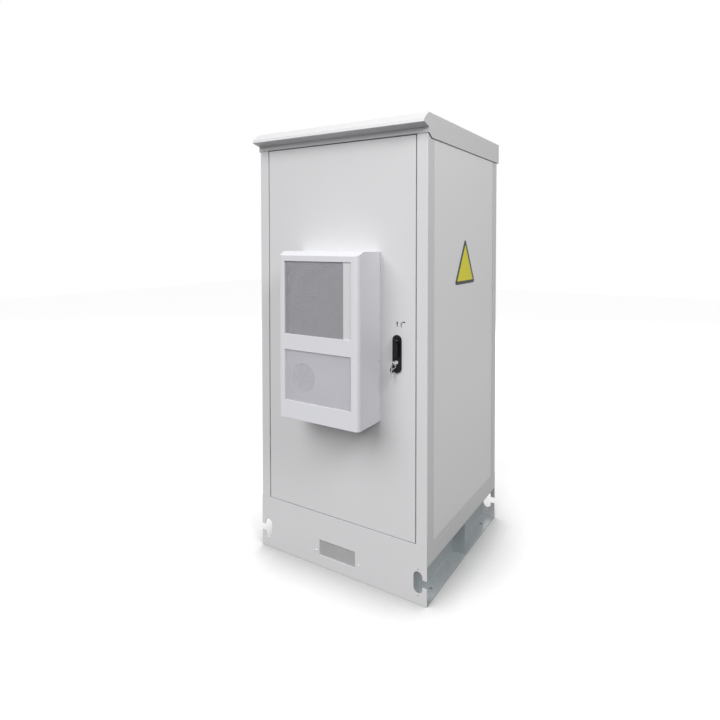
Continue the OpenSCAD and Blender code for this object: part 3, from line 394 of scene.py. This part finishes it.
# %% [markdown]
# ## Nickel, aluminium and copper
# The keys and pins are nickel plated, with fine brush lines along them. Coil fins are thin aluminium,
# given a dark tone that paints the shade falling between the packed fins, and the tube bends are copper
# that has darkened unevenly. One recipe serves all three: a noise that is stretched by a vector draws the
# lines, and a plain one draws the stains.

# %% Nickel, aluminium and copper
line_scale, line_rough = 60.0, 0.14
stain_scale, stain_share, stain_rough = 55.0, 0.6, 0.10
brush_strength, brush_depth, metal_fold = 0.10, 0.0002, 0.0005


def brushed(name, dark, light, lines, rough, shine):
    finish = Tree(bpy.data.materials.new(name))
    place = finish.place()
    drawn = finish.node("ShaderNodeVectorMath", {"operation": "MULTIPLY"}, {0: place, 1: lines})
    line = finish.noise(drawn, line_scale, detail=3.0, rough=0.6)
    stain = finish.noise(place, stain_scale, detail=4.0, rough=0.6)
    return ending(finish, {
        "Base Color": finish.blend(mingle(stain, line, stain_share), dark, light),
        "Metallic": shine,
        "Roughness": rough + line * line_rough + stain * stain_rough,
        "Normal": skin(finish, line, brush_strength, brush_depth, metal_fold),
    })


bright_steel = brushed("bright_steel", dark=(0.62, 0.62, 0.63), light=(0.80, 0.80, 0.80),
                       lines=(30.0, 30.0, 2.0), rough=0.16, shine=1.0)
# coil_fins is far darker than bare aluminium: the dark tone is painted shade for the gaps between the packed
# fins.
coil_fins = brushed("coil_fins", dark=(0.20, 0.205, 0.22), light=(0.33, 0.335, 0.35),
                    lines=(8.0, 8.0, 1.0), rough=0.36, shine=0.75)
coil_copper = brushed("coil_copper", dark=(0.36, 0.16, 0.09), light=(0.78, 0.42, 0.27),
                      lines=(4.0, 4.0, 4.0), rough=0.26, shine=1.0)
print("metals:", bright_steel.name, coil_fins.name, coil_copper.name)

# %% [markdown]
# ## Black parts and rubber
# The handle is satin black enamel on cast metal, with a faint skin that breaks its highlights. Fan
# wheels and rod guides are moulded plastic with a fine spark-eroded grain, and the seal, cable edging
# and compressor feet are matt rubber with a faint bloom.

# %% Enamel, plastic and rubber
bloom_scale, bloom_share, bloom_rough = 24.0, 0.6, 0.12
grain_rough, grain_depth, dark_gloss = 0.06, 0.0003, 0.15


def dark_finish(name, dark, light, grain_scale, grain_strength, rough, fold):
    finish = Tree(bpy.data.materials.new(name))
    place = finish.place()
    relief = finish.noise(place, grain_scale, detail=3.0, rough=0.6)
    bloom = finish.noise(place, bloom_scale, detail=4.0, rough=0.6)
    return ending(finish, {
        "Base Color": finish.blend(mingle(bloom, relief, bloom_share), dark, light),
        "Roughness": rough + bloom * bloom_rough + relief * grain_rough,
        "Specular IOR Level": dark_gloss,
        "Normal": skin(finish, relief, grain_strength, grain_depth, fold),
    })


black_metal = dark_finish("black_metal", dark=(0.007, 0.007, 0.009), light=(0.013, 0.013, 0.016),
                          grain_scale=900.0, grain_strength=0.10, rough=0.24, fold=0.0016)
black_plastic = dark_finish("black_plastic", dark=(0.022, 0.022, 0.024), light=(0.040, 0.040, 0.043),
                            grain_scale=1400.0, grain_strength=0.22, rough=0.44, fold=0.0010)
seal_rubber = dark_finish("seal_rubber", dark=(0.014, 0.014, 0.014), light=(0.036, 0.035, 0.034),
                          grain_scale=800.0, grain_strength=0.18, rough=0.66, fold=0.0014)
print("dark finishes:", black_metal.name, black_plastic.name, seal_rubber.name)

# %% [markdown]
# ## Dress the solids
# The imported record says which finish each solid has, by the name of a material slot. A table from those
# names to the finishes above lets one loop hand them out, so that no solid is forgotten.

# %% Dress the solids
finishes = {
    "cabinet_paint": cabinet_paint, "panel_paint": panel_paint,
    "unit_paint": unit_paint, "mesh_paint": mesh_paint,
    "zinc_steel": zinc_steel, "base_zinc": base_zinc, "bright_steel": bright_steel,
    "coil_fins": coil_fins, "coil_copper": coil_copper,
    "black_metal": black_metal, "black_plastic": black_plastic, "seal_rubber": seal_rubber,
}
for subpart in frame["record"]["subparts"]:
    mesh = nodes[subpart["node"]].data
    mesh.materials.clear()
    mesh.materials.append(finishes[subpart["material_slot"]])

# %% [markdown]
# ## Adding a piece
# A piece that the solids lack is a mesh of its own. It rides on the body that carries it, so that it
# moves with the door.

# %% Pieces
weld_reach = 1e-6


def piece(name, verts, faces, body, slot, *materials):
    mesh = bpy.data.meshes.new(name)
    mesh.from_pydata(verts, [], faces)
    mesh.update()
    for material in materials:
        mesh.materials.append(material)
    made = bpy.data.objects.new(name, mesh)
    scene.collection.objects.link(made)
    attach(made, body)
    return made


def weld(made):
    shape = bmesh.new()
    shape.from_mesh(made.data)
    bmesh.ops.remove_doubles(shape, verts=shape.verts, dist=weld_reach)
    shape.to_mesh(made.data)
    shape.free()


print("pieces ready")

# %% [markdown]
# ## A sheet made of cells
# The two windows of the air conditioner and the vent in the base are closed by perforated sheet:
# six-sided holes in staggered rows. The solids carry a coarse grid, and here each sheet gets its real
# holes. A Boolean with thousands of prisms would be slow and fragile, so the sheet is laid out as
# cells: each cell is a small rectangle with its hole, made of a front ring, a rear ring and the wall of
# the hole. `plate` adds a flat piece without a hole, and `rim` closes the sheet along its outer edge.

# %% Sheets
hole_sides, hole_turn = 6, 30
hole_angles = [math.radians(hole_turn + 360 / hole_sides * i) for i in range(hole_sides)]
hole_corners = [(math.cos(angle), math.sin(angle)) for angle in hole_angles]
cell_corners = [(1, 1), (0, 1), (-1, 1), (-1, -1), (0, -1), (1, -1)]


class Sheet:
    def __init__(self, front, rear):
        self.depths = (front, rear)
        self.verts, self.faces = [], []
        self.holes = 0

    def plate(self, corners):
        first, count = len(self.verts), len(corners)
        self.verts.extend((x, y, z) for y in self.depths for x, z in corners)
        self.faces.append(tuple(range(first, first + count)))
        self.faces.append(tuple(reversed(range(first + count, first + 2 * count))))

    def cell(self, x, z, half_x, half_z, half_hole):
        first = len(self.verts)
        for y in self.depths:
            self.verts.extend((x + a * half_x, y, z + b * half_z) for a, b in cell_corners)
            self.verts.extend((x + a * half_hole, y, z + b * half_hole) for a, b in hole_corners)
        front, front_hole, rear, rear_hole = (
            range(first + k * hole_sides, first + (k + 1) * hole_sides) for k in range(4))
        for i in range(hole_sides):
            j = (i + 1) % hole_sides
            self.faces.append((front[i], front[j], front_hole[j], front_hole[i]))
            self.faces.append((rear[j], rear[i], rear_hole[i], rear_hole[j]))
            self.faces.append((front_hole[i], front_hole[j], rear_hole[j], rear_hole[i]))
        self.holes += 1

    def rim(self, corners):
        first, count = len(self.verts), len(corners)
        self.verts.extend((x, y, z) for x, z in corners for y in self.depths)
        for i in range(count):
            near, far = first + 2 * i, first + 2 * ((i + 1) % count)
            self.faces.append((near, near + 1, far + 1, far))


print("holes have", hole_sides, "sides")

# %% [markdown]
# ## Rows of holes
# Every second row is set off by half a cell and starts and ends with a plain half cell. The middle of a
# cell's upper edge then meets a corner of the cells above, so the cells can be welded into one sheet
# without cracks. The plain border takes the same points along its inner edge.

# %% Rows of holes
sheet_thickness = 0.0008
row_pitch_share = math.sin(math.radians(60))


def perforated(node, window, pitch, hole):
    low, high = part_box(node)
    sheet = Sheet(low.y, low.y + sheet_thickness)
    (left, right), (bottom, top) = window
    columns = int((right - left) / pitch)
    rows = int((top - bottom) / (pitch * row_pitch_share))
    half_x, half_z = (right - left) / columns / 2, (top - bottom) / rows / 2
    across = [left + i * half_x for i in range(2 * columns + 1)]
    up = [bottom + 2 * i * half_z for i in range(rows + 1)]
    for row in range(rows):
        offset = row % 2
        z0, z1 = up[row], up[row + 1]
        if offset:
            for x0, x1 in ((across[0], across[1]), (across[-2], across[-1])):
                sheet.plate([(x0, z0), (x1, z0), (x1, z1), (x0, z1)])
        for column in range(columns - offset):
            sheet.cell(across[2 * column + 1 + offset], z0 + half_z, half_x, half_z, hole / 2)
    sheet.plate([(low.x, low.z), (high.x, low.z), (high.x, bottom),
                 *((x, bottom) for x in reversed(across)), (low.x, bottom)])
    sheet.plate([(low.x, top), *((x, top) for x in across),
                 (high.x, top), (high.x, high.z), (low.x, high.z)])
    sheet.plate([(low.x, bottom), *((left, z) for z in up), (low.x, top)])
    sheet.plate([*((right, z) for z in reversed(up)), (high.x, bottom), (high.x, top)])
    sheet.rim([(low.x, low.z), (high.x, low.z), (high.x, bottom), (high.x, top),
               (high.x, high.z), (low.x, high.z), (low.x, top), (low.x, bottom)])
    return sheet


print("rows lie", round(row_pitch_share, 3), "of a pitch apart")

# %% [markdown]
# ## Perforated sheets
# Each sheet has its own margin, pitch and hole. The upper grille ends in a plain strip on the right, whose
# faces take the second material, the darker cabinet paint, as painted shade for the strip behind the cover.

# %% Perforated sheets
def window_of(node, margin, plain):
    low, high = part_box(node)
    return (low.x + margin, high.x - margin - plain), (low.z + margin, high.z - margin)


sheets = [
    {"node": "upper_grille", "body": "door", "paint": mesh_paint,
     "margin": 0.003, "plain": 0.0375, "pitch": 0.0050, "hole": 0.0044},
    {"node": "lower_grille", "body": "door", "paint": mesh_paint,
     "margin": 0.003, "plain": 0.0, "pitch": 0.0050, "hole": 0.0033},
    {"node": "base_vent_mesh", "body": "cabinet", "paint": cabinet_paint,
     "margin": 0.009, "plain": 0.0, "pitch": 0.0048, "hole": 0.0035},
]
for row in sheets:
    node, plain = row["node"], row["plain"]
    window = window_of(node, row["margin"], plain)
    layout = perforated(node, window, row["pitch"], row["hole"])
    sheet = piece(node + "_sheet", layout.verts, layout.faces, row["body"], "mesh_paint",
                  row["paint"], cabinet_paint)
    weld(sheet)
    for face in sheet.data.polygons:
        # Painted shade: the faces of the plain strip take the darker cabinet paint in place of the shade in
        # its recess.
        face.material_index = int(plain > 0 and face.center.x > window[0][1])
    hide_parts(node)
    print(sheet.name, "has", layout.holes, "holes and", len(sheet.data.vertices), "points")

# %% [markdown]
# ## Reflecting sheet
# The sign is covered with a sheet of tiny reflecting cells. A Voronoi texture that measures the distance
# to the nearest border draws the walls between them, very faintly, and a large noise fades the colour.

# %% Reflecting sheet
wall_scale, wall_sharpness, wall_share = 420.0, 9.0, 0.5
fade_scale, fade_rough = 9.0, 0.12
wall_strength, wall_depth, sign_gloss = 0.05, 0.0002, 0.2


def reflective(name, dark, light, rough):
    finish = Tree(bpy.data.materials.new(name))
    place = finish.place()
    cell = finish.node("ShaderNodeTexVoronoi", {"feature": "DISTANCE_TO_EDGE"},
                       {"Vector": place, "Scale": wall_scale})
    wall = finish.node("ShaderNodeClamp", None, {"Value": cell * wall_sharpness})
    fade = finish.noise(place, fade_scale, detail=4.0)
    relief = finish.node("ShaderNodeBump", None, {
        "Strength": wall_strength, "Distance": wall_depth, "Height": wall})
    return ending(finish, {
        "Base Color": finish.blend(mingle(wall, fade, wall_share), dark, light),
        "Roughness": rough + fade * fade_rough,
        "Specular IOR Level": sign_gloss,
        "Normal": relief,
    })


sign_yellow = reflective("sign_yellow", dark=(0.70, 0.645, 0.006), light=(0.83, 0.765, 0.012),
                         rough=0.34)
sign_dark = reflective("sign_dark", dark=(0.020, 0.020, 0.018), light=(0.036, 0.036, 0.032),
                       rough=0.32)
print("sign colours:", sign_yellow.name, sign_dark.name)

# %% [markdown]
# ## Sign plate
# A plain triangular plate is fixed to the right side panel: a thin yellow sheet with a dark printed edge
# and rounded corners. The corners are arcs around the corners of a smaller triangle, and tighter arcs
# around a still smaller one give the inner edge of the print.

# %% Sign plate
corner_turn = 120


def rounded_triangle(corners, radius, steps):
    points = []
    for i, corner in enumerate(corners):
        before, after = corners[i - 1], corners[(i + 1) % 3]
        inward = ((before - corner).normalized() + (after - corner).normalized()).normalized()
        outward = math.atan2(-inward.y, -inward.x)
        for step in range(steps + 1):
            turn = outward + math.radians(-corner_turn / 2 + corner_turn * step / steps)
            points.append(corner + radius * Vector((math.cos(turn), math.sin(turn))))
    return points


sign_core = [Vector((-0.1285, 1.314)), Vector((0.081, 1.314)), Vector((-0.0238, 1.4954))]
sign_r, print_r, arc_steps = 0.010, 0.002, 8
print_share = 0.884
sign_back, sign_face, sign_crown = 0.0001, 0.0012, 0.0013

side_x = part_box("right_side_panel")[1].x
sign_middle = sum(sign_core, Vector((0, 0))) / 3
outline = rounded_triangle(sign_core, sign_r, arc_steps)
inner_line = rounded_triangle([sign_middle.lerp(corner, print_share) for corner in sign_core],
                              print_r, arc_steps)
count = len(outline)
levels = [(outline, sign_back), (outline, sign_face), (inner_line, sign_crown)]
verts = [(side_x + rise, point.x, point.y) for line, rise in levels for point in line]
faces = [tuple(reversed(range(count)))]
for level in range(len(levels) - 1):
    lower, upper = level * count, (level + 1) * count
    faces.extend((lower + i, lower + (i + 1) % count, upper + (i + 1) % count, upper + i)
                 for i in range(count))
faces.append(tuple(range(2 * count, 3 * count)))
sign = piece("sign_plate", verts, faces, "cabinet", "cabinet_paint", sign_dark, sign_yellow)
sign.data.polygons[len(faces) - 1].material_index = 1
print("sign plate, side", round((sign_core[1] - sign_core[0]).length + 2 * sign_r, 3), "m")

# %% [markdown]
# ## Printed arrows
# Two small dark arrows above the handle show how it works: lift the lever, then turn it. They are
# printed on the door, so they are outlines of almost no thickness. The straight arrow is a list of
# corners. The bent one runs along an arc with one edge and back with the other, and its head sits at
# the end of the arc.

# %% Printed arrows
print_back, print_face = 0.0001, 0.00022
stem_share, head_share = 0.18, 0.42
head_spread, head_turn = 2.4, 38


def straight_arrow(x, z, length, width):
    stem, neck = width * stem_share, z + length - length * head_share
    return [(x - stem, z), (x + stem, z), (x + stem, neck), (x + width / 2, neck),
            (x, z + length), (x - width / 2, neck), (x - stem, neck)]


def bent_arrow(x, z, radius, half, start, end, steps):
    def at(r, angle):
        return x + r * math.cos(math.radians(angle)), z + r * math.sin(math.radians(angle))

    turns = [start + (end - start) * i / steps for i in range(steps + 1)]
    head = [at(radius + head_spread * half, end), at(radius, end - head_turn),
            at(radius - head_spread * half, end)]
    outer = [at(radius + half, turn) for turn in turns]
    inner = [at(radius - half, turn) for turn in reversed(turns)]
    return outer + head + inner


door_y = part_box("door_panel")[0].y
marks = [
    straight_arrow(x=0.310, z=1.145, length=0.023, width=0.011),
    bent_arrow(x=0.342, z=1.152, radius=0.0140, half=0.0017, start=215, end=95, steps=12),
]
verts, faces = [], []
for mark in marks:
    first, count = len(verts), len(mark)
    verts.extend((x, door_y - rise, z) for rise in (print_back, print_face) for x, z in mark)
    faces.append(tuple(first + i for i in range(count)))
    faces.append(tuple(first + count + i for i in reversed(range(count))))
    faces.extend((first + (i + 1) % count, first + i, first + count + i,
                  first + count + (i + 1) % count) for i in range(count))
piece("handle_arrows", verts, faces, "door", "black_plastic", black_plastic)
print("arrows:", len(marks))

# %% [markdown]
# ## Screw heads
# Small pan-head screws hold the vent mesh and the cover of the air conditioner. Each head is a profile
# turned about its axis, with a six-sided socket: the radius of the socket changes with the angle, so
# that one loop of code makes both the round rim and the hexagon.

# %% Screw heads
head_steps = 24
head_profile = [(1.0, 0.0, False), (1.0, 0.30, False), (0.88, 0.52, False), (0.62, 0.66, False),
                (0.46, 0.66, True), (0.44, 0.25, True)]


def hexagon_share(angle):
    return math.cos(math.pi / 6) / math.cos(angle % (math.pi / 3) - math.pi / 6)


def screw_heads(name, places, outward, radius, body):
    turn = Vector(outward).normalized().to_track_quat("Z", "Y").to_matrix()
    angles = [2 * math.pi * i / head_steps for i in range(head_steps)]
    verts, faces = [], []
    for spot in places:
        first = len(verts)
        for share, rise, six in head_profile:
            for angle in angles:
                r = radius * share * (hexagon_share(angle) if six else 1.0)
                point = Vector((r * math.cos(angle), r * math.sin(angle), radius * rise))
                verts.append(Vector(spot) + turn @ point)
        rings = [range(first + k * head_steps, first + (k + 1) * head_steps)
                 for k in range(len(head_profile))]
        for lower, upper in zip(rings, rings[1:]):
            faces.extend((lower[i - 1], lower[i], upper[i], upper[i - 1]) for i in range(head_steps))
        faces.append(tuple(rings[-1]))
        faces.append(tuple(reversed(rings[0])))
    return piece(name, verts, faces, body, "bright_steel", bright_steel)


print("a head has", len(head_profile), "rings of", head_steps, "points")

# %% [markdown]
# ## Screws
# One screw sits on either side of the vent mesh, and a row of four runs down each side of the air
# conditioner, close to the door. Their places come from the boxes of the pieces that they hold.

# %% Screws
vent_screw_r, vent_screw_off, vent_screw_z = 0.0034, 0.010, 0.070
cover_screw_r, cover_screw_in = 0.0036, 0.012
cover_screw_shares = (0.08, 0.36, 0.64, 0.92)

vent_low, vent_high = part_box("base_vent_mesh")
plate_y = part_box("base_front_plate")[0].y
vent_screws = [(x, plate_y, vent_screw_z)
               for x in (vent_low.x - vent_screw_off, vent_high.x + vent_screw_off)]
screw_heads("vent_screws", vent_screws, (0, -1, 0), vent_screw_r, "cabinet")

cover_low, cover_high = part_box("unit_cover")
cover_rows = [cover_low.z + share * (cover_high.z - cover_low.z) for share in cover_screw_shares]
for name, x, outward in (("cover_screws_right", cover_high.x, (1, 0, 0)),
                         ("cover_screws_left", cover_low.x, (-1, 0, 0))):
    screw_heads(name, [(x, cover_high.y - cover_screw_in, z) for z in cover_rows], outward,
                cover_screw_r, "door")
print("screws:", len(vent_screws) + 2 * len(cover_rows))

# %% [markdown]
# ## Finish
# Both boxes are kept side by side, and how far the visual model reaches past the solids is printed.
# The visual model may not grow past the solids.

# %% Sizes and finish
boxes = {"cad": [list(corner) for corner in cad_box], "visual": [list(corner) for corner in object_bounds()]}
growth = [round(visual - cad, 4) for corners in zip(boxes["cad"], boxes["visual"])
          for cad, visual in zip(*corners)]
print("growth:", growth)
